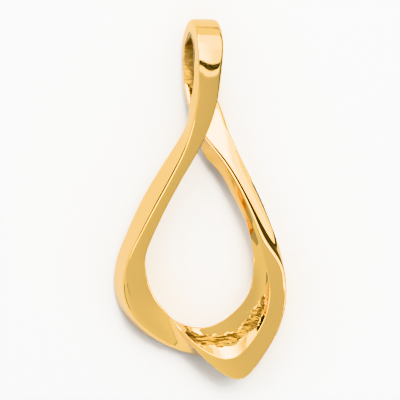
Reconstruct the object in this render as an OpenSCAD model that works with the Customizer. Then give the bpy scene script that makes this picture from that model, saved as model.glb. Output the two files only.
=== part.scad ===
// Slide pendant, one casting in polished yellow gold.
// A single band rises out of a drop-shaped loop, turns over as a bail for the
// chain and comes down behind itself. It gains half a turn on the way round.
// Frame: the pendant lies on its back with its origin on the table, under the
// middle of its box. X is to the right, Y up its length and Z off the table.

/* [Overall size] */
// Width across the loop
pendant_w = 12; // [8:0.5:18]
// Length from the bail's top to the loop's lowest point
pendant_l = 25; // [17:0.5:38]
// Depth from the table to the bail's front
pendant_d = 4.1; // [2.8:0.1:6]

/* [Bail] */
// Width of the band where it forms the bail
bail_w = 1.93; // [1.4:0.01:2.2]
// Depth of the bail from its front face to its back face
bail_depth = 3.7; // [3.3:0.1:4]
// Height of the bail's arch
bail_rise = 2.3; // [2:0.1:2.6]
// Turn of the bail about the pendant's length, which shows its left side
bail_roll = 18; // [14:1:22]
// Thickness of the bail's front wall
front_wall = 1.1; // [0.8:0.05:1.2]
// Thickness of the bail's top wall
top_wall = 1.2; // [0.9:0.05:1.4]
// Thickness of the bail's back wall
back_wall = 0.5; // [0.5:0.05:1]

/* [Finish] */
// Radius of the polished edges
edge_r = 0.07; // [0.05:0.01:0.12]
// Radius of the crest's outer edge on both legs
leg_edge_r = 0.42; // [0.2:0.02:0.5]
// Radius of the upper edge of the right leg's step
step_edge_r = 0.2; // [0.1:0.02:0.24]
// Radius of the bail's right edges and of the edges over its top
soft_edge_r = 0.3; // [0.14:0.02:0.3]
// Radius that eases a fold along a face
fold_r = 0.6; // [0.4:0.1:0.8]
// Height of the crown across the bail's faces
crown = 0.015; // [0:0.005:0.08]

/* [Smoothness] */
// Rings from one section to the next
rings = 4; // [2:1:5]

/* [Hidden] */
gold = "#d9b15f";

// Middle of the bail's arch
bail_at = [0.14, 10.17, 2.05];
// Power that points the top of the bail's hole
hole_point = 1.8;
// Where the edges grow softer: across and up the bail's right side, and over
// its top. Below the last pair the crest's outer edge has its own radius.
soft_across = [0, 0.5];
soft_up = [6.5, 8.5];
soft_top = [10.9, 11.9];
leg_top = [5, 8];

// The band's sections below the bail, in order: down the front leg, round the
// loop and up the back leg. Each is a cut at right angles to the table.
// x, y: a point in the middle of the band    out: direction away from the loop
// The corners are pairs of a distance outward from that point and a height:
// a, b, c: the crest's outer, middle and inner edges   d: inner back   e: outer back
// ab, cd: the fold of a face, as its share of the way across and its height
//     x     y   out      a           b           c           d           e        ab         cd
SECTIONS = [
    [ 0.42,  8.05, 178,  0.58,3.85, -0.95,3.40, -0.78,2.35,  0.92,2.75,  0.92,3.20, 0.5, 0.04, 0.5, 0.02],
    [ 0.15,  6.65, 172,  0.42,3.62, -0.95,3.20, -0.85,2.30,  0.60,2.10,  0.94,2.60, 0.5, 0.04, 0.5, 0.02],
    [-0.14,  5.10, 165,  0.47,3.45, -0.75,3.08, -0.74,2.40,  0.25,1.65,  0.86,2.20, 0.5, 0.03, 0.5, 0.02],
    [-1.05,  3.35, 154,  0.14,3.30, -0.74,3.00, -0.73,2.60, -0.40,1.55,  0.89,1.95, 0.5, 0.03, 0.5, 0.00],
    [-2.20,  1.25, 153,  0.06,3.15, -0.66,2.88, -0.66,2.60, -0.50,1.30,  1.07,1.65, 0.5, 0.02, 0.5, 0.00],
    [-3.30, -0.85, 152,  0.14,3.00, -0.65,2.75, -0.65,2.50, -0.50,0.95,  1.17,1.30, 0.5, 0.02, 0.5, 0.00],
    [-4.48, -3.00, 155,  0.10,2.85, -0.83,2.60, -0.83,2.38, -0.65,0.65,  0.96,0.95, 0.5, 0.02, 0.5, 0.00],
    [-4.88, -4.33, 170,  0.27,2.66, -1.01,2.55, -1.00,2.25, -0.80,0.50,  1.07,0.65, 0.5, 0.01, 0.5, 0.00],
    [-4.88, -6.15, 190,  0.59,2.50, -1.26,2.38, -1.26,2.20, -1.00,0.45,  1.26,0.35, 0.5, 0.01, 0.5, 0.00],
    [-4.08, -7.75, 210,  0.80,2.25, -1.22,2.42, -1.24,2.28, -1.10,0.70,  1.22,0.20, 0.6, 0.00, 0.5, 0.00],
    [-2.86, -8.98, 230,  0.66,1.75, -1.10,2.55, -1.17,2.48, -1.10,1.00,  0.94,0.15, 0.7,-0.12, 0.5,-0.05],
    [-1.32, -9.64, 250,  1.00,0.70, -0.34,2.65, -0.48,2.65, -1.01,1.60,  0.60,0.10, 0.6,-0.10, 0.5,-0.15],
    [ 0.28, -9.99, 270,  1.00,0.25,  1.02,2.45,  0.46,2.70, -1.17,1.95,  0.20,0.20, 0.5, 0.00, 0.5,-0.10],
    [ 1.80,-10.25, 287,  1.90,0.10,  2.36,2.40,  0.80,2.70, -1.88,2.10,  0.30,0.25, 0.5, 0.03, 0.5,-0.12],
    [ 2.83, -9.65, 300,  1.80,0.05,  2.04,2.45,  0.69,2.68, -1.85,2.15,  0.20,0.20, 0.5, 0.03, 0.45,-0.15],
    [ 3.92, -8.29, 320,  1.60,0.05,  1.70,2.45,  0.49,2.60, -1.55,2.15,  0.10,0.20, 0.5, 0.03, 0.45,-0.25],
    [ 4.55, -6.79, 340,  1.42,0.10,  1.46,2.38,  0.25,2.50, -1.27,2.15,  0.00,0.30, 0.5, 0.03, 0.4,-0.25],
    [ 4.68, -5.24,   0,  1.20,0.30,  1.20,2.30,  0.02,2.40, -1.08,2.15,  0.00,0.40, 0.5, 0.03, 0.35,-0.10],
    [ 4.60, -4.08,  15,  1.06,1.40,  0.98,2.07, -0.17,2.38, -0.98,2.15,  0.30,0.50, 0.5, 0.02, 0.5, 0.00],
    [ 4.26, -2.79,  20,  1.05,1.70,  0.57,1.98, -0.21,2.40, -0.76,2.00,  0.30,0.60, 0.5, 0.03, 0.5, 0.00],
    [ 3.56, -1.05,  27,  1.09,1.76,  0.34,2.16, -0.31,2.18, -0.55,1.85,  0.25,0.65, 0.5, 0.04, 0.5, 0.00],
    [ 2.79,  0.70,  29,  1.06,1.84,  0.20,2.28, -0.40,2.05, -0.70,1.60,  0.25,0.65, 0.5, 0.04, 0.5, 0.00],
    [ 1.82,  2.44,  30,  1.14,1.70,  0.12,2.18, -0.37,1.90, -0.68,1.20,  0.25,0.60, 0.5, 0.04, 0.5, 0.00],
    [ 1.19,  4.19,  28,  1.02,1.70, -0.50,2.03, -0.90,1.60, -1.45,0.90,  0.40,0.55, 0.5, 0.04, 0.5, 0.00],
    [ 0.63,  5.66,  20,  1.03,1.60, -1.00,1.95, -1.08,1.20, -0.10,0.45,  0.90,0.70, 0.5, 0.03, 0.5, 0.00],
    [-0.07,  7.54,   5,  1.00,1.25, -1.04,1.60, -1.17,0.80,  0.80,0.10,  0.98,0.65, 0.5, 0.02, 0.5, 0.02],
];
// The first section's number in the round, after those of the bail
first_section = 4;
// The small step beside corner b on the right leg: a section's number in the
// round, and the step's width there. It rises a little more than its width.
STEPS = [
    [20, 0], [21, 0.06], [22, 0.3], [23, 0.42], [24, 0.28],
    [25, 0.22], [26, 0.2], [27, 0.2], [28, 0.08], [29, 0]
];
step_rise = 1.1;
// The section at which the band is divided, so that its strands can cross
split = 18;
// Points on each rounded edge
edge_points = 3;
// Share of the way to the next rail that the two roundings there take at most
flat_to = 0.94;
// Grain to which the middles of the strands' ends are rounded
grain = 0.0001;

function towards(p, q, share) = p + (q - p) * share;
function unit(v) = v / norm(v);
// How far a value is from low to high, from 0 to 1
function share_of(value, range) = min(1, max(0, (value - range[0]) / (range[1] - range[0])));
// Quadratic curve from p to r, drawn towards q
function bend(p, q, r, t) = p * (1 - t) * (1 - t) + q * 2 * t * (1 - t) + r * t * t;
// Direction to the right of the way from p to q
function right_of(p, q) = let (way = unit(q - p)) [way[1], -way[0]];

// A section's eight rails, from its corners in its own plane. The corners run
// anticlockwise, so each face has its outer side on the right. The fourth rail
// is the top of the step, or lies midway between b and c.
function rails(s, step) =
    let (
        a = s[0], b = s[1], c = s[2], d = s[3], e = s[4], ab = s[5], cd = s[6],
        middle = step > 0 ? b + step * [-1, step_rise] : (b + c) / 2
    )
    [a, towards(a, b, ab[0]) + 2 * ab[1] * right_of(a, b), b, middle,
     c, towards(c, d, cd[0]) + 2 * cd[1] * right_of(c, d), d, e];

// A section below the bail: distance outward and height, put in its place
function leg_section(i) =
    let (s = SECTIONS[i], corners = [for (k = [3 : 2 : 15]) [s[k], s[k + 1]]])
    [for (p = rails(corners, lookup(i + first_section, STEPS)))
        [s[0] + p[0] * cos(s[2]), s[1] + p[0] * sin(s[2]), p[1]]];

// A section of the bail at an angle round its hole, in its own plane: distance
// to the left along the hole and distance out through the wall
function bail_section(turn) =
    let (
        wall = turn < 90 ? front_wall : back_wall,
        outer = [bail_depth / 2 * cos(turn), bail_rise * sin(turn)],
        pointed = cos(turn) * pow(abs(cos(turn)), hole_point - 1),
        inner = [(bail_depth / 2 - wall) * pointed, (bail_rise - top_wall) * sin(turn)],
        thick = norm(outer - inner),
        half = bail_w / 2,
        corners = [[half, thick], [-half, thick], [-half, 0], [half, 0], [half, thick / 2]],
        folds = [[0.5, crown], [0.5, 0]]
    )
    [for (p = rails(concat(corners, folds), 0))
        let (radial = towards(inner, outer, p[1] / thick))
        bail_at + [
            radial[0] * sin(bail_roll) - p[0] * cos(bail_roll),
            radial[1],
            radial[0] * cos(bail_roll) + p[0] * sin(bail_roll)
        ]];

// The half turn that the band gains: each rail goes on as the one opposite
function half_turn(rails) = [for (k = [0 : 7]) rails[(k + 4) % 8]];

// All sections in one round: the bail from its top down to its front, the legs
// and loop, and the bail again from its back up to just short of its top
STATIONS = concat(
    [for (turn = [90, 60, 30, 0]) bail_section(turn)],
    [for (i = [0 : len(SECTIONS) - 1]) leg_section(i)],
    [for (turn = [180, 150, 120]) half_turn(bail_section(turn))]
);
count = len(STATIONS);
function station(i) =
    i < 0 ? half_turn(STATIONS[i + count]) :
    i < count ? STATIONS[i] : half_turn(STATIONS[i - count]);
// Control points of a cubic spline that passes by the stations
function control(i) = station(i) * 4 / 3 - (station(i - 1) + station(i + 1)) / 6;
function spline(i, t) =
    let (u = 1 - t)
    (control(i - 1) * u * u * u + control(i) * (3 * t * t * t - 6 * t * t + 4)
        + control(i + 1) * (3 * u * u * u - 6 * u * u + 4) + control(i + 2) * t * t * t) / 6;

// Radius of the edge on rail k, at a point of it
function edge_at(p, k) =
    let (
        soft = max(share_of(p[0], soft_across) * share_of(p[1], soft_up), share_of(p[1], soft_top)),
        crisp = k == 0 ? leg_edge_r + (edge_r - leg_edge_r) * share_of(p[1], leg_top) : edge_r
    )
    k == 3 ? step_edge_r : crisp + (soft_edge_r - crisp) * soft;
// One ring of points round the band. Rails 0, 2, 4 and 6 are edges, 1 and 5
// are folds, 3 is the step's upper edge and 7 lies between two edges.
function ring(r) =
    [for (k = [0 : 7])
        let (
            last = r[(k + 7) % 8], here = r[k], next = r[(k + 1) % 8],
            fold = k == 1 || k == 5,
            edge = edge_at(here, k),
            radius = fold ? fold_r : edge,
            most = fold ? flat_to - edge / max(0.2, min(norm(last - here), norm(next - here))) : flat_to / 2,
            back = min(most, radius / max(0.001, norm(last - here))),
            on = min(most, radius / max(0.001, norm(next - here)))
        )
        for (j = [0 : edge_points - 1])
            bend(towards(here, last, back), here, towards(here, next, on), j / (edge_points - 1))];

// Every ring of the round, and the box that holds them
ROUND = [for (s = [0 : count * rings - 1]) ring(spline(floor(s / rings), (s % rings) / rings))];
ring_size = len(ROUND[0]);
low = [for (axis = [0 : 2]) min([for (points = ROUND, p = points) p[axis]])];
high = [for (axis = [0 : 2]) max([for (points = ROUND, p = points) p[axis]])];
base_centre = [(low[0] + high[0]) / 2, (low[1] + high[1]) / 2, low[2]];

// The last ring is the first one again, half a turn on
function round_ring(s) =
    s < len(ROUND) ? ROUND[s] : [for (k = [0 : ring_size - 1]) ROUND[0][(k + ring_size / 2) % ring_size]];

// Middle of a ring, rounded so that the caps of two strands meet exactly
function centre_of(points) = [for (v = [for (p = points) 1 / ring_size] * points) round(v / grain) * grain];

// A stretch of the band between two sections, closed at both ends
module strand(first, last) {
    steps = (last - first) * rings;
    loop = [for (s = [0 : steps]) round_ring(first * rings + s)];
    centres = [centre_of(loop[0]), centre_of(loop[steps])];
    centre = ring_size * (steps + 1);
    polyhedron(
        points = concat([for (points = loop) each points], centres),
        faces = concat(
            [for (s = [0 : steps - 1], k = [0 : ring_size - 1])
                let (p = s * ring_size + k, q = s * ring_size + (k + 1) % ring_size)
                each [[p, q, q + ring_size], [p, q + ring_size, p + ring_size]]],
            [for (k = [0 : ring_size - 1]) [(k + 1) % ring_size, k, centre]],
            [for (k = [0 : ring_size - 1])
                [steps * ring_size + k, steps * ring_size + (k + 1) % ring_size, centre + 1]]
        ),
        convexity = 6
    );
}

// The two strands of the band, fused where they cross, set on the table
module pendant() {
    color(gold)
        resize([pendant_w, pendant_l, pendant_d])
            translate(-base_centre) {
                strand(0, split);
                strand(split, count);
            }
}

pendant();
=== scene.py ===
"""A slide pendant of polished yellow gold, lying on white board under soft light.

The pendant is one casting: a single band that makes a drop-shaped loop, crosses
itself and turns over as the bail. Its surface is worked out here again, finer
than in the frame, from the same sections. Sizes are in millimetres.
"""
import math

import bpy
import numpy as np
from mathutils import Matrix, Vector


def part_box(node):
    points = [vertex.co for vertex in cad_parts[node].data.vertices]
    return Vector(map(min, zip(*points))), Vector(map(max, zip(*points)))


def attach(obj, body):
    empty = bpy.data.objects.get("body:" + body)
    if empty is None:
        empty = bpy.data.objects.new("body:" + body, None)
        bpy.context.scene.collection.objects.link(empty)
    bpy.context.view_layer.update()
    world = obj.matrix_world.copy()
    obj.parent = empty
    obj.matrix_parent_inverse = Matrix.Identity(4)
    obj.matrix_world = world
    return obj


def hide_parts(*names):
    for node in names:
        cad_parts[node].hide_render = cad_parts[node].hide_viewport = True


MM = 0.001

# The bail: an ellipse outside and a pointed arch inside, rolled about Y
BAIL_WIDTH = 1.93
BAIL_DEPTH = 3.7
BAIL_RISE = 2.3
BAIL_ROLL = math.radians(18)
FRONT_WALL = 1.1
TOP_WALL = 1.2
BACK_WALL = 0.5
BAIL_AT = np.array([0.14, 10.17, 2.05])
HOLE_POINT = 1.8
CROWN = 0.015
# Its sections, as angles round the hole: before the legs and after them
BAIL_FRONT = (90, 60, 30, 0)
BAIL_BACK = (180, 150, 120)

# Radius of the edges, of the crest's outer edge on both legs, of the step's upper
# edge, and of the bail's edges on its right side and over its top
EDGE_R = 0.07
LEG_EDGE_R = 0.42
STEP_EDGE_R = 0.2
SOFT_EDGE_R = 0.3
# Where one radius turns into another: up the legs, across and up the bail's
# right side, and over its top
LEG_TOP = (5.0, 8.0)
SOFT_ACROSS = (0.0, 0.5)
SOFT_UP = (6.5, 8.5)
SOFT_TOP = (10.9, 11.9)
# Radius that eases a fold along a face
FOLD_R = 0.6
# Share of the way to the next rail that the two roundings there take at most
FLAT_TO = 0.94
# A fold leaves the edges beside it room for their radius, as if they were never
# nearer than NARROW, and no two rails count as nearer than SLIGHT
NARROW = 0.2
SLIGHT = 0.001

# The eight rails of the band: corner a, the fold of ab, b, the middle of bc or
# the top of the step, c, the fold of cd, d and e. Half a turn moves them by four.
RAILS = 8
HALF_TURN = 4
LEG_EDGE_RAIL = 0
FOLD_RAILS = (1, 5)
STEP_RAIL = 3
HOLLOW_RAIL = 5
# The bail's inner face, before the half turn and after it
INNER_RAILS = (4, 5, 6)
TURNED_INNER_RAILS = (0, 1, 2)

# The band's sections below the bail, down the front leg, round the loop and up
# the back leg. x, y: a point in the band; out: direction away from the loop, in
# degrees. The corners a to e are a distance outward and a height; ab and cd are
# the folds of two faces, as a share of the way across and a height.
SECTIONS = [
    # x     y   out      a           b           c           d           e        ab         cd
    ( 0.42,  8.05, 178,  0.58,3.85, -0.95,3.40, -0.78,2.35,  0.92,2.75,  0.92,3.20, 0.5, 0.04, 0.5, 0.02),
    ( 0.15,  6.65, 172,  0.42,3.62, -0.95,3.20, -0.85,2.30,  0.60,2.10,  0.94,2.60, 0.5, 0.04, 0.5, 0.02),
    (-0.14,  5.10, 165,  0.47,3.45, -0.75,3.08, -0.74,2.40,  0.25,1.65,  0.86,2.20, 0.5, 0.03, 0.5, 0.02),
    (-1.05,  3.35, 154,  0.14,3.30, -0.74,3.00, -0.73,2.60, -0.40,1.55,  0.89,1.95, 0.5, 0.03, 0.5, 0.00),
    (-2.20,  1.25, 153,  0.06,3.15, -0.66,2.88, -0.66,2.60, -0.50,1.30,  1.07,1.65, 0.5, 0.02, 0.5, 0.00),
    (-3.30, -0.85, 152,  0.14,3.00, -0.65,2.75, -0.65,2.50, -0.50,0.95,  1.17,1.30, 0.5, 0.02, 0.5, 0.00),
    (-4.48, -3.00, 155,  0.10,2.85, -0.83,2.60, -0.83,2.38, -0.65,0.65,  0.96,0.95, 0.5, 0.02, 0.5, 0.00),
    (-4.88, -4.33, 170,  0.27,2.66, -1.01,2.55, -1.00,2.25, -0.80,0.50,  1.07,0.65, 0.5, 0.01, 0.5, 0.00),
    (-4.88, -6.15, 190,  0.59,2.50, -1.26,2.38, -1.26,2.20, -1.00,0.45,  1.26,0.35, 0.5, 0.01, 0.5, 0.00),
    (-4.08, -7.75, 210,  0.80,2.25, -1.22,2.42, -1.24,2.28, -1.10,0.70,  1.22,0.20, 0.6, 0.00, 0.5, 0.00),
    (-2.86, -8.98, 230,  0.66,1.75, -1.10,2.55, -1.17,2.48, -1.10,1.00,  0.94,0.15, 0.7,-0.12, 0.5,-0.05),
    (-1.32, -9.64, 250,  1.00,0.70, -0.34,2.65, -0.48,2.65, -1.01,1.60,  0.60,0.10, 0.6,-0.10, 0.5,-0.15),
    ( 0.28, -9.99, 270,  1.00,0.25,  1.02,2.45,  0.46,2.70, -1.17,1.95,  0.20,0.20, 0.5, 0.00, 0.5,-0.10),
    ( 1.80,-10.25, 287,  1.90,0.10,  2.36,2.40,  0.80,2.70, -1.88,2.10,  0.30,0.25, 0.5, 0.03, 0.5,-0.12),
    ( 2.83, -9.65, 300,  1.80,0.05,  2.04,2.45,  0.69,2.68, -1.85,2.15,  0.20,0.20, 0.5, 0.03, 0.45,-0.15),
    ( 3.92, -8.29, 320,  1.60,0.05,  1.70,2.45,  0.49,2.60, -1.55,2.15,  0.10,0.20, 0.5, 0.03, 0.45,-0.25),
    ( 4.55, -6.79, 340,  1.42,0.10,  1.46,2.38,  0.25,2.50, -1.27,2.15,  0.00,0.30, 0.5, 0.03, 0.4,-0.25),
    ( 4.68, -5.24,   0,  1.20,0.30,  1.20,2.30,  0.02,2.40, -1.08,2.15,  0.00,0.40, 0.5, 0.03, 0.35,-0.10),
    ( 4.60, -4.08,  15,  1.06,1.40,  0.98,2.07, -0.17,2.38, -0.98,2.15,  0.30,0.50, 0.5, 0.02, 0.5, 0.00),
    ( 4.26, -2.79,  20,  1.05,1.70,  0.57,1.98, -0.21,2.40, -0.76,2.00,  0.30,0.60, 0.5, 0.03, 0.5, 0.00),
    ( 3.56, -1.05,  27,  1.09,1.76,  0.34,2.16, -0.31,2.18, -0.55,1.85,  0.25,0.65, 0.5, 0.04, 0.5, 0.00),
    ( 2.79,  0.70,  29,  1.06,1.84,  0.20,2.28, -0.40,2.05, -0.70,1.60,  0.25,0.65, 0.5, 0.04, 0.5, 0.00),
    ( 1.82,  2.44,  30,  1.14,1.70,  0.12,2.18, -0.37,1.90, -0.68,1.20,  0.25,0.60, 0.5, 0.04, 0.5, 0.00),
    ( 1.19,  4.19,  28,  1.02,1.70, -0.50,2.03, -0.90,1.60, -1.45,0.90,  0.40,0.55, 0.5, 0.04, 0.5, 0.00),
    ( 0.63,  5.66,  20,  1.03,1.60, -1.00,1.95, -1.08,1.20, -0.10,0.45,  0.90,0.70, 0.5, 0.03, 0.5, 0.00),
    (-0.07,  7.54,   5,  1.00,1.25, -1.04,1.60, -1.17,0.80,  0.80,0.10,  0.98,0.65, 0.5, 0.02, 0.5, 0.02),
]
# The small step beside corner b on the right leg: the numbers of its sections in
# the round, and its width at each. It rises a little more than its width.
STEP_AT = (20, 21, 22, 23, 24, 25, 26, 27, 28, 29)
STEP_WIDTHS = (0, 0.06, 0.3, 0.42, 0.28, 0.22, 0.2, 0.2, 0.08, 0)
STEP_RISE = 1.1

# The section at which the band is divided, so that its strands can cross. The
# second strand starts early, tucked inside the first: the scale of its rings up
# to the seam.
SPLIT = 24
TUCK = (0.98, 0.98, 0.9998)

# How fine the surface is: rings from one section to the next, points on an edge
RINGS = 20
EDGE_POINTS = 12
# Where the rings are, in sections. Two more lie close by the seam, so that the
# shading runs on across it.
NEAR_SEAM = 0.002
SEAM_RINGS = [SPLIT - NEAR_SEAM, SPLIT + NEAR_SEAM]
COUNT = len(BAIL_FRONT) + len(SECTIONS) + len(BAIL_BACK)
RINGS_AT = np.sort(np.append(np.arange(COUNT * RINGS) / RINGS, SEAM_RINGS))
# Sections that the spline borrows from the round before, and one more after
BORROWED = 3
# An angle between faces over which an edge is drawn sharp
SHARP = math.radians(45)

# Where the casting keeps the mould's skin. On the bail's inner face it fades out
# between two places on the front leg, and on the back leg it starts past one, in
# sections, and above a line that slants down across it.
HOLE_FADE = (3.6, 4.4)
HOLE_FROM = 28.5
LINE_SLOPE = 0.92
LINE_HEIGHT = 7.1
LINE_BLUR = 0.1
# In the hollow it lies along an arc, past one section, and fades out between two
# more. The arc has a centre, a radius and a reach to either side.
HOLLOW_FROM = 15
HOLLOW_FADE = (19, 21)
ARC_AT = (0.76, -6.1)
ARC_R = 3.68
ARC_REACH = 0.75

# The fillet where the strands cross: how high up the pendant it may lie, its
# reach from the corner, the rounds of easing, and the share of the way that a
# point at the corner goes in each
CROSSING_FROM = 3
FILLET_REACH = 0.25
FILLET_ROUNDS = 40
FILLET_PULL = 0.5
# Points are matched by whole numbers: steps to the millimetre, and the digits
# that each coordinate has. Distances are worked out to so many points at a time.
MATCH_STEPS = 1e4
MATCH_DIGITS = 7
POINTS_AT_A_TIME = 200

# The gold: its colour polished; the colours of the mould's skin in its pits and on
# its crests, partly the skin's own and partly painted shade, darkest in the pits;
# and a lighter gold that paints light onto the skin in the bail's hole, with the
# share that it has there
POLISHED_COLOUR = "#f0c576"
PIT_SKIN_AND_SHADE = "#503710"
CREST_SKIN_AND_SHADE = "#a48143"
HOLE_PAINTED_LIGHT = "#edc678"
HOLE_LIGHT_SHARE = 0.3
POLISHED_ROUGHNESS = 0.05
SKIN_ROUGHNESS = 0.4
# The skin's ragged edge: patches of half a millimetre add or take away up to half
# of a share, and the sums between which polish turns into skin
PATCH_SIZE = 0.5
PATCH_SHARE = 0.9
SKIN_EDGE = (0.45, 0.6)
# Its pits: how many to the millimetre along the last strokes of the wheel, across
# them and into the metal, the way of the strokes, how deep the pits are, and the
# heights between which the pits' colour turns into the crests'
PITS_PER_MM = (1.5, 7, 4)
STROKE_ANGLE = math.radians(-35)
PIT_DEPTH = 0.12
CREST_AT = (0.42, 0.6)

# The white board
BOARD_HALF = 400
BOARD_COLOUR = "#bcbcbc"
BOARD_ROUGHNESS = 0.9

# The tent's light: at its foot and overhead, the height by which the one has
# turned into the other, and how much brighter it is towards X and Y
TENT_COLOUR = "#fdfeff"
TENT_LEVELS = (0.4, 0.91)
TENT_RISE = 0.1
TENT_LEAN = (-0.2, -0.1, 0)

# The lights are cards, placed where the gold mirrors them as in the photograph.
# Columns: name, a corner, the two sides from it, the radiance at the start and
# at the end of the first side, and the shares of that side where it changes.
LIGHTS = [
    ("key",          ( 105,  -21, 250), (245,   0, 0), (0,  76,   0), (14, 4),    (0.1, 0.4)),
    ("diffuser",     ( 105,  -40, 300), (465,   0, 0), (0, 490,   0), (2, 2),     (0, 1)),
    ("top_light",    (  12,   55, 250), (338,   0, 0), (0, 100,   0), (22, 6),    (0.25, 0.55)),
    ("upper_light",  (  12,  155, 250), (338,   0, 0), (0, 270,   0), (22, 6),    (0, 0.2)),
    ("hollow_light", (-220,  185, 250), (232,   0, 0), (0, 240,   0), (1.8, 22),  (0.1, 0.95)),
    ("side_light",   ( 350,    0,  45), (  0, 320, 0), (0,   0, 205), (2.5, 2.5), (0, 1)),
    ("back_light",   (-150,  450,  25), (600,   0, 0), (0,   0, 275), (1.6, 1.6), (0, 1)),
    ("left_light",   (-260,   20, 120), (  0, 240, 0), (0,   0, 280), (6, 6),     (0, 1)),
    ("bright_edge",  ( 105,  -50, 245), (198,  -5, 0), (0,  12,   0), (4, 4),     (0, 1)),
]
# Flags: dark cards, which the gold mirrors and the board doesn't lose light to
FLAGS = [
    ("dark_edge",    ( 105,  -38, 245), (198,  -5, 0), (0,  17,   0), (0.05, 0.05), (0, 1)),
    ("left_flag",    (-200,   62,   8), (  0,  73, 0), (0,   0, 120), (0.04, 0.04), (0, 1)),
    ("front_flag",   (-200, -150,   5), (  0, 120, 0), (0,   0, 100), (0.55, 0.55), (0, 1)),
    ("dark_floor",   (   9,  -60, 0.5), ( 66,   0, 0), (0, 150,   0), (0.45, 0.1),  (0, 0.1)),
    ("dark_wall",    (  75,  -60, 0.5), (  0, 150, 0), (0,   0,  22), (0.1, 0.1),   (0, 1)),
]

# The camera looks straight down: its height, its place over the board, the width
# of what it sees there, its sensor, and how near and far it sees
CAMERA_HEIGHT = 350
CAMERA_OVER = (-0.014, -0.064)
VIEW_WIDTH = 27.93
SENSOR_WIDTH = 36
NEAR_CLIP = 10
FAR_CLIP = 10000


def unit(v):
    """Vectors of length 1, each the same way as the given one."""
    return v / np.linalg.norm(v, axis=-1, keepdims=True)


def share(value, low, high):
    """How far a value is from low to high, from 0 to 1."""
    return np.clip((value - low) / (high - low), 0, 1)


def rails(a, b, c, d, e, ab, cd, step=0):
    """Eight points round a section in its own plane, in the order of the rails. A
    fold lies its share of the way across its face and twice its height out,
    because the curve that is drawn towards it goes half the way."""
    a, b, c, d, e = (np.array(p, float) for p in (a, b, c, d, e))

    def fold(p, q, across, height):
        way = unit(q - p)
        return p + (q - p) * across + 2 * height * np.array([way[1], -way[0]])

    middle = b + step * np.array([-1, STEP_RISE]) if step else (b + c) / 2
    return np.array([a, fold(a, b, *ab), b, middle, c, fold(c, d, *cd), d, e])


def leg_section(number, x, y, out, *pairs):
    """Eight points of the section with this number in the round: distances run
    outward along the direction out, and heights along Z."""
    p = rails(*np.reshape(pairs, (-1, 2)), step=np.interp(number, STEP_AT, STEP_WIDTHS))
    out = math.radians(out)
    return np.stack([x + p[:, 0] * math.cos(out), y + p[:, 0] * math.sin(out), p[:, 1]], axis=1)


def bail_section(turn):
    """Eight points of the wall at an angle round the bail's hole: 0 is its front,
    90 its top and 180 its back. The outer face is on an ellipse, half the depth
    times the cosine by the rise times the sine. The inner one is less deep by the
    wall and less high by the top wall, and a power of the cosine points it."""
    c, s = math.cos(math.radians(turn)), math.sin(math.radians(turn))
    wall = FRONT_WALL if turn < 90 else BACK_WALL
    outer = np.array([BAIL_DEPTH / 2 * c, BAIL_RISE * s])
    inner_depth = (BAIL_DEPTH / 2 - wall) * c * abs(c) ** (HOLE_POINT - 1)
    inner = np.array([inner_depth, (BAIL_RISE - TOP_WALL) * s])
    thick = np.linalg.norm(outer - inner)
    half = BAIL_WIDTH / 2
    corners = (half, thick), (-half, thick), (-half, 0), (half, 0), (half, thick / 2)
    p = rails(*corners, ab=(0.5, CROWN), cd=(0.5, 0))
    radial = inner + (outer - inner) * p[:, 1:] / thick
    cr, sr = math.cos(BAIL_ROLL), math.sin(BAIL_ROLL)
    across = radial[:, 0] * sr - p[:, 0] * cr
    height = radial[:, 0] * cr + p[:, 0] * sr
    return BAIL_AT + np.stack([across, radial[:, 1], height], axis=1)


def band_rails():
    """The eight rails all the way round, as a uniform cubic B-spline close by the
    sections' points. A control point is four thirds of its section's point less a
    sixth of the points before and after it. After one round each rail goes on as
    the one opposite, which is the band's half turn."""
    front = [bail_section(turn) for turn in BAIL_FRONT]
    legs = [leg_section(i, *row) for i, row in enumerate(SECTIONS, start=len(BAIL_FRONT))]
    back = [np.roll(bail_section(turn), -HALF_TURN, axis=0) for turn in BAIL_BACK]
    stations = np.array(front + legs + back)
    turned = np.roll(stations, -HALF_TURN, axis=1)
    ring = np.concatenate([turned[-BORROWED:], stations, turned[: BORROWED + 1]])
    control = ring[1:-1] * 4 / 3 - (ring[:-2] + ring[2:]) / 6
    i = RINGS_AT.astype(int) + BORROWED - 1
    t = (RINGS_AT - RINGS_AT.astype(int))[:, None, None]
    w = 1 - t
    return (
        control[i - 1] * w**3
        + control[i] * (3 * t**3 - 6 * t**2 + 4)
        + control[i + 1] * (3 * w**3 - 6 * w**2 + 4)
        + control[i + 2] * t**3
    ) / 6


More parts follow.
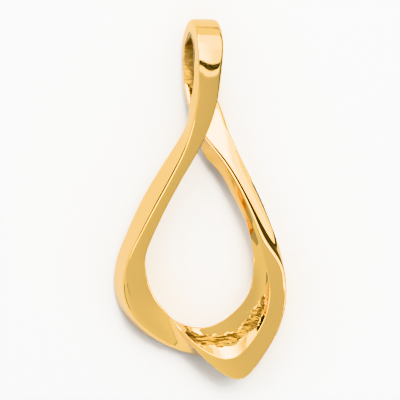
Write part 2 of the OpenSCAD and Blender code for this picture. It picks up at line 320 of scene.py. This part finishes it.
def band_rings():
    """The rings of points round the band. Each rail is rounded by a quadratic
    curve: its start times (1 - t) squared, the rail times 2 t (1 - t) and its end
    times t squared. It starts and ends its reach away from the rail, along the
    faces on either side. An edge's reach is its radius and a fold's is FOLD_R,
    and neither is more than the face has room for."""
    here = band_rails()
    before, after = np.roll(here, 1, axis=1), np.roll(here, -1, axis=1)
    x, y = here[..., 0:1], here[..., 1:2]
    rail = np.arange(RAILS)[None, :, None]
    is_fold = np.isin(rail, FOLD_RAILS)
    on_leg = (rail == LEG_EDGE_RAIL) * (1 - share(y, *LEG_TOP))
    soft = np.maximum(share(x, *SOFT_ACROSS) * share(y, *SOFT_UP), share(y, *SOFT_TOP))
    crisp = EDGE_R + (LEG_EDGE_R - EDGE_R) * on_leg
    edge = crisp + (SOFT_EDGE_R - crisp) * soft
    edge = np.where(rail == STEP_RAIL, STEP_EDGE_R, edge)
    back = np.maximum(np.linalg.norm(before - here, axis=-1, keepdims=True), SLIGHT)
    on = np.maximum(np.linalg.norm(after - here, axis=-1, keepdims=True), SLIGHT)
    radius = np.where(is_fold, FOLD_R, edge)
    fold_room = FLAT_TO - edge / np.maximum(NARROW, np.minimum(back, on))
    room = np.where(is_fold, fold_room, FLAT_TO / 2)
    start = here + (before - here) * np.minimum(room, radius / back)
    end = here + (after - here) * np.minimum(room, radius / on)
    start, middle, end = start[:, :, None], here[:, :, None], end[:, :, None]
    t = np.linspace(0, 1, EDGE_POINTS)[None, None, :, None]
    curve = start * (1 - t) ** 2 + middle * 2 * t * (1 - t) + end * t**2
    return curve.reshape(len(here), -1, 3)


def cast_share(rings):
    """How much of the mould's skin is left at each point of each ring: up to 1 in
    the hollow, by the distance from its arc, and up to 2 on the bail's inner face,
    where above 1 it also lets in the painted light of the hole."""
    u = np.append(RINGS_AT, COUNT)[:, None]
    rail = np.arange(rings.shape[1])[None, :] // EDGE_POINTS
    x, y = rings[..., 0], rings[..., 1]
    front = np.isin(rail, INNER_RAILS) * (1 - share(u, *HOLE_FADE))
    above_line = share(y + LINE_SLOPE * x - LINE_HEIGHT, -LINE_BLUR, LINE_BLUR)
    back = np.isin(rail, TURNED_INNER_RAILS) * (u > HOLE_FROM) * above_line
    off = np.abs(np.hypot(x - ARC_AT[0], y - ARC_AT[1]) - ARC_R)
    near_arc = (1 - share(off, 0, ARC_REACH)) * (1 - share(u, *HOLLOW_FADE))
    hollow = (rail == HOLLOW_RAIL) * (u > HOLLOW_FROM) * near_arc
    return 2 * (front + back) + hollow


def fit_to_frame(rings):
    """Stretches the rings so that their box is the one of the frame's node."""
    low, high = rings.min(axis=(0, 1)), rings.max(axis=(0, 1))
    box_low, box_high = (np.array(corner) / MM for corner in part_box("pendant"))
    return box_low + (rings - low) * (box_high - box_low) / (high - low)


def new_object(name, points, faces):
    """An object in the scene, made of points in metres and faces."""
    mesh = bpy.data.meshes.new(name)
    mesh.from_pydata(points, [], faces)
    obj = bpy.data.objects.new(name, mesh)
    bpy.context.collection.objects.link(obj)
    return obj


def strand(name, rings, cast):
    """A stretch of rings as a closed surface: faces of four corners from each ring
    to the next, and a fan of triangles round the middle of each end."""
    count, size, _ = rings.shape
    here = np.arange(size)
    beside = np.roll(here, -1)
    ring = np.arange(count - 1)[:, None] * size
    sides = [ring + here, ring + size + here, ring + size + beside, ring + beside]
    sides = np.stack(sides, axis=-1).reshape(-1, 4)
    last = (count - 1) * size
    fans = np.concatenate([
        np.stack([here, beside, np.full(size, count * size)], axis=1),
        np.stack([last + beside, last + here, np.full(size, count * size + 1)], axis=1),
    ])
    middles = rings[[0, -1]].mean(axis=1)
    points = np.concatenate([rings.reshape(-1, 3), middles])
    obj = new_object(name, points * MM, sides.tolist() + fans.tolist())
    skin = obj.data.attributes.new("cast", "FLOAT", "POINT")
    skin.data.foreach_set("value", np.append(cast.ravel(), [0, 0]))
    return obj


def tuck(rings):
    """Draws the first rings in towards their own middles, by the scales of TUCK."""
    rings = rings.copy()
    first = rings[: len(TUCK)]
    middle = first.mean(axis=1, keepdims=True)
    rings[: len(TUCK)] = middle + (first - middle) * np.array(TUCK)[:, None, None]
    return rings


def join(first, other):
    """Fuses another closed solid into the first."""
    union = first.modifiers.new("join", "BOOLEAN")
    union.operation = "UNION"
    union.solver = "MANIFOLD"
    union.object = other
    joined = first.evaluated_get(bpy.context.evaluated_depsgraph_get())
    mesh = bpy.data.meshes.new_from_object(joined)
    first.modifiers.clear()
    first.data = mesh
    bpy.data.objects.remove(other)


def positions(mesh):
    """The places of a mesh's points, in metres."""
    co = np.empty(len(mesh.vertices) * 3, np.float32)
    mesh.vertices.foreach_get("co", co)
    return co.reshape(-1, 3)


def match_numbers(points):
    """One whole number for each point, the same for points in the same place."""
    steps = np.round(points.astype(float) / MM * MATCH_STEPS).astype(np.int64)
    return steps @ np.array([1, 10**MATCH_DIGITS, 10 ** (2 * MATCH_DIGITS)])


def ease_crossing(mesh, known):
    """Rounds the corners where the strands meet. The points that joining made are
    the ones that neither strand had. Each point within reach of one moves towards
    the middle of its neighbours, by the square root of 1 less its distance as a
    share of the reach."""
    co = positions(mesh).astype(float)
    made = ~np.isin(match_numbers(co), match_numbers(known))
    corner = co[made & (co[:, 1] > CROSSING_FROM * MM)]
    near = np.full(len(co), np.inf)
    for some in np.array_split(corner, max(1, len(corner) // POINTS_AT_A_TIME)):
        near = np.minimum(near, np.linalg.norm(co[:, None] - some[None], axis=-1).min(axis=1))
    pull = np.sqrt(1 - share(near, 0, FILLET_REACH * MM))[:, None]
    edges = np.empty(len(mesh.edges) * 2, np.int32)
    mesh.edges.foreach_get("vertices", edges)
    a, b = edges.reshape(-1, 2).T
    neighbours = np.bincount(np.append(a, b), minlength=len(co))[:, None]
    for _ in range(FILLET_ROUNDS):
        total = np.zeros_like(co)
        np.add.at(total, a, co[b])
        np.add.at(total, b, co[a])
        co += (total / neighbours - co) * pull * FILLET_PULL
    mesh.vertices.foreach_set("co", co.astype(np.float32).ravel())
    mesh.update()


def pendant():
    """The band: two strands, fused where they meet end to end and where they cross."""
    rings = band_rings()
    turned = np.roll(rings[:1], -rings.shape[1] // 2, axis=1)
    rings = np.concatenate([rings, turned])
    cast = cast_share(rings)
    rings = fit_to_frame(rings)
    after_seam = np.searchsorted(RINGS_AT, SPLIT) + 1
    front = strand("band", rings[:after_seam], cast[:after_seam])
    start = after_seam - len(TUCK)
    back = strand("band_back", tuck(rings[start:]), cast[start:])
    known = np.concatenate([positions(front.data), positions(back.data)])
    join(front, back)
    ease_crossing(front.data, known)
    front.data.shade_smooth()
    front.data.set_sharp_from_angle(angle=SHARP)
    return front


def linear(hex_colour):
    """sRGB hex to linear light."""
    parts = [int(hex_colour[i : i + 2], 16) / 255 for i in (1, 3, 5)]
    return [c / 12.92 if c <= 0.04045 else ((c + 0.055) / 1.055) ** 2.4 for c in parts] + [1]


def material(name):
    """A new material, its node tree and its shader."""
    mat = bpy.data.materials.new(name)
    mat.use_nodes = True
    return mat, mat.node_tree, mat.node_tree.nodes["Principled BSDF"]


def add(tree, kind, settings=None, **inputs):
    """Adds a node. Inputs are named sockets with underscores for spaces, or _0,
    _1 for a socket's number; each is a value or another node's output."""
    node = tree.nodes.new(kind)
    for name, value in (settings or {}).items():
        setattr(node, name, value)
    for name, value in inputs.items():
        socket = node.inputs[int(name[1:])] if name[0] == "_" else node.inputs[name.replace("_", " ")]
        if isinstance(value, bpy.types.NodeSocket):
            tree.links.new(value, socket)
        else:
            socket.default_value = value
    return node


def polished_gold():
    # 14 carat yellow gold, cast by lost wax and polished on a felt wheel: a mirror
    # with a little haze. The wheel doesn't reach into the bail's hole or the
    # bottom of the hollow, which keep the pitted skin of the casting. Its colour
    # there is partly its own and partly painted shade, darkest in its pits, with
    # painted light that makes it somewhat brighter in the hole.
    mat, tree, shader = material("polished_gold")
    math_node, range_node, mix_node = "ShaderNodeMath", "ShaderNodeMapRange", "ShaderNodeMix"
    noise_node = "ShaderNodeTexNoise"
    colours = {"data_type": "RGBA"}
    place = add(tree, "ShaderNodeTexCoord").outputs["Object"]
    cast = add(tree, "ShaderNodeAttribute", {"attribute_name": "cast"}).outputs["Fac"]

    patches = add(tree, noise_node, Vector=place, Scale=1 / (PATCH_SIZE * MM), Detail=3).outputs[0]
    moved = add(
        tree, math_node, {"operation": "MULTIPLY_ADD"}, _0=patches, _1=PATCH_SHARE, _2=-PATCH_SHARE / 2
    ).outputs[0]
    ragged = add(tree, math_node, {"operation": "ADD"}, _0=cast, _1=moved).outputs[0]
    low, high = SKIN_EDGE
    skin = add(tree, range_node, Value=ragged, From_Min=low, From_Max=high).outputs[0]

    strokes = add(
        tree, "ShaderNodeMapping",
        Vector=place, Rotation=(0, 0, STROKE_ANGLE), Scale=[number / MM for number in PITS_PER_MM],
    ).outputs[0]
    pits = add(tree, noise_node, Vector=strokes, Scale=1, Detail=4).outputs[0]
    relief = add(tree, math_node, {"operation": "MULTIPLY"}, _0=pits, _1=skin).outputs[0]
    bump = add(tree, "ShaderNodeBump", Height=relief, Strength=1, Distance=PIT_DEPTH * MM).outputs[0]
    roughness = add(
        tree, range_node, Value=skin, To_Min=POLISHED_ROUGHNESS, To_Max=SKIN_ROUGHNESS
    ).outputs[0]

    low, high = CREST_AT
    crest = add(tree, range_node, Value=pits, From_Min=low, From_Max=high).outputs[0]
    # Painted shade: the skin's colour runs from dark in its pits to lighter on its crests, and is darker
    # than polished gold.
    skin_and_shade = add(
        tree, mix_node, colours, _0=crest, _6=linear(PIT_SKIN_AND_SHADE), _7=linear(CREST_SKIN_AND_SHADE)
    ).outputs[2]
    # Painted light: in the bail's hole the skin's colour is mixed towards a lighter gold.
    hole_light = add(tree, range_node, Value=cast, From_Min=1, From_Max=2, To_Max=HOLE_LIGHT_SHARE).outputs[0]
    skin_shade_and_light = add(tree, mix_node, colours, _0=hole_light, _6=skin_and_shade, _7=linear(HOLE_PAINTED_LIGHT)).outputs[2]
    colour = add(tree, mix_node, colours, _0=skin, _6=linear(POLISHED_COLOUR), _7=skin_shade_and_light).outputs[2]

    tree.links.new(colour, shader.inputs["Base Color"])
    tree.links.new(bump, shader.inputs["Normal"])
    tree.links.new(roughness, shader.inputs["Roughness"])
    shader.inputs["Metallic"].default_value = 1
    return mat


def white_board():
    # Uncoated white card: matt, so it scatters the light evenly and mirrors nothing
    mat, _, shader = material("white_board")
    shader.inputs["Base Color"].default_value = linear(BOARD_COLOUR)
    shader.inputs["Roughness"].default_value = BOARD_ROUGHNESS
    return mat


def board():
    """The board that the pendant lies on, a square round the origin."""
    corners = np.array([(-1, -1, 0), (1, -1, 0), (1, 1, 0), (-1, 1, 0)])
    obj = new_object("board", corners * BOARD_HALF * MM, [(0, 1, 2, 3)])
    obj.data.materials.append(white_board())


def glowing_card(name, corner, side, radiance, fade):
    # Diffusing film lit from behind: it glows evenly, or changes along its first
    # side, and mirrors nothing. A flag's glows least.
    mat, tree, shader = material(name)
    place = add(tree, "ShaderNodeTexCoord").outputs["Object"]
    subtract, dot = {"operation": "SUBTRACT"}, {"operation": "DOT_PRODUCT"}
    from_corner = add(tree, "ShaderNodeVectorMath", subtract, _0=place, _1=corner).outputs[0]
    per_side = side / (side @ side)
    along = add(tree, "ShaderNodeVectorMath", dot, _0=from_corner, _1=per_side).outputs["Value"]
    glow = add(
        tree, "ShaderNodeMapRange", {"interpolation_type": "SMOOTHSTEP"},
        Value=along, From_Min=fade[0], From_Max=fade[1], To_Min=radiance[0], To_Max=radiance[1],
    ).outputs[0]
    shader.inputs["Base Color"].default_value = linear("#000000")
    shader.inputs["Specular IOR Level"].default_value = 0
    shader.inputs["Emission Color"].default_value = linear("#ffffff")
    tree.links.new(glow, shader.inputs["Emission Strength"])
    return mat


def card(name, corner, side, up, radiance, fade):
    """A flat card from one corner and the two sides from it. The camera doesn't
    see it, only what it lights and its reflection in the gold."""
    corner, side, up = (np.array(v, float) * MM for v in (corner, side, up))
    obj = new_object(name, [corner, corner + side, corner + side + up, corner + up], [(0, 1, 2, 3)])
    obj.data.materials.append(glowing_card(name, corner, side, radiance, fade))
    obj.visible_camera = False
    return obj


def flag(*where):
    """A dark card that takes light out of the reflections alone."""
    obj = card(*where)
    obj.visible_diffuse = False
    obj.visible_shadow = False


def tent():
    """The white tent round the board: bright overhead and darker at the sides."""
    world = bpy.data.worlds.new("tent")
    bpy.context.scene.world = world
    world.use_nodes = True
    tree = world.node_tree
    way = add(tree, "ShaderNodeTexCoord").outputs["Generated"]
    height = add(tree, "ShaderNodeSeparateXYZ", Vector=way).outputs["Z"]
    foot, top = TENT_LEVELS
    level = add(
        tree, "ShaderNodeMapRange", Value=height, From_Min=0, From_Max=TENT_RISE, To_Min=foot, To_Max=top
    ).outputs[0]
    dot = {"operation": "DOT_PRODUCT"}
    lean = add(tree, "ShaderNodeVectorMath", dot, _0=way, _1=TENT_LEAN).outputs["Value"]
    glow = add(tree, "ShaderNodeMath", {"operation": "ADD"}, _0=level, _1=lean).outputs[0]
    background = tree.nodes["Background"]
    background.inputs["Color"].default_value = linear(TENT_COLOUR)
    tree.links.new(glow, background.inputs["Strength"])


def camera():
    """The camera over the board, with the lens that sees VIEW_WIDTH from there."""
    data = bpy.data.cameras.new("camera")
    data.sensor_width = SENSOR_WIDTH
    data.lens = SENSOR_WIDTH * CAMERA_HEIGHT / VIEW_WIDTH
    data.clip_start = NEAR_CLIP * MM
    data.clip_end = FAR_CLIP * MM
    obj = bpy.data.objects.new("camera", data)
    obj.location = (CAMERA_OVER[0] * MM, CAMERA_OVER[1] * MM, CAMERA_HEIGHT * MM)
    bpy.context.collection.objects.link(obj)
    bpy.context.scene.camera = obj


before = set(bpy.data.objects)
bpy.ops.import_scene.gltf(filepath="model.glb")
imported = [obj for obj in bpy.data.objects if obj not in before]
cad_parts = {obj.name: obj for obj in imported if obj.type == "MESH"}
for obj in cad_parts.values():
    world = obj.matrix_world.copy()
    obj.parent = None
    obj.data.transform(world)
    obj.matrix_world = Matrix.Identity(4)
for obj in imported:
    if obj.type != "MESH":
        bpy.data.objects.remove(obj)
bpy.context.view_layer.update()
gold = polished_gold()
band = pendant()
band.data.materials.clear()
band.data.materials.append(gold)
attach(band, "root")
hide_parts("pendant")
board()
tent()
for row in LIGHTS:
    card(*row)
for row in FLAGS:
    flag(*row)
camera()
bpy.context.scene.view_settings.view_transform = "Khronos PBR Neutral"
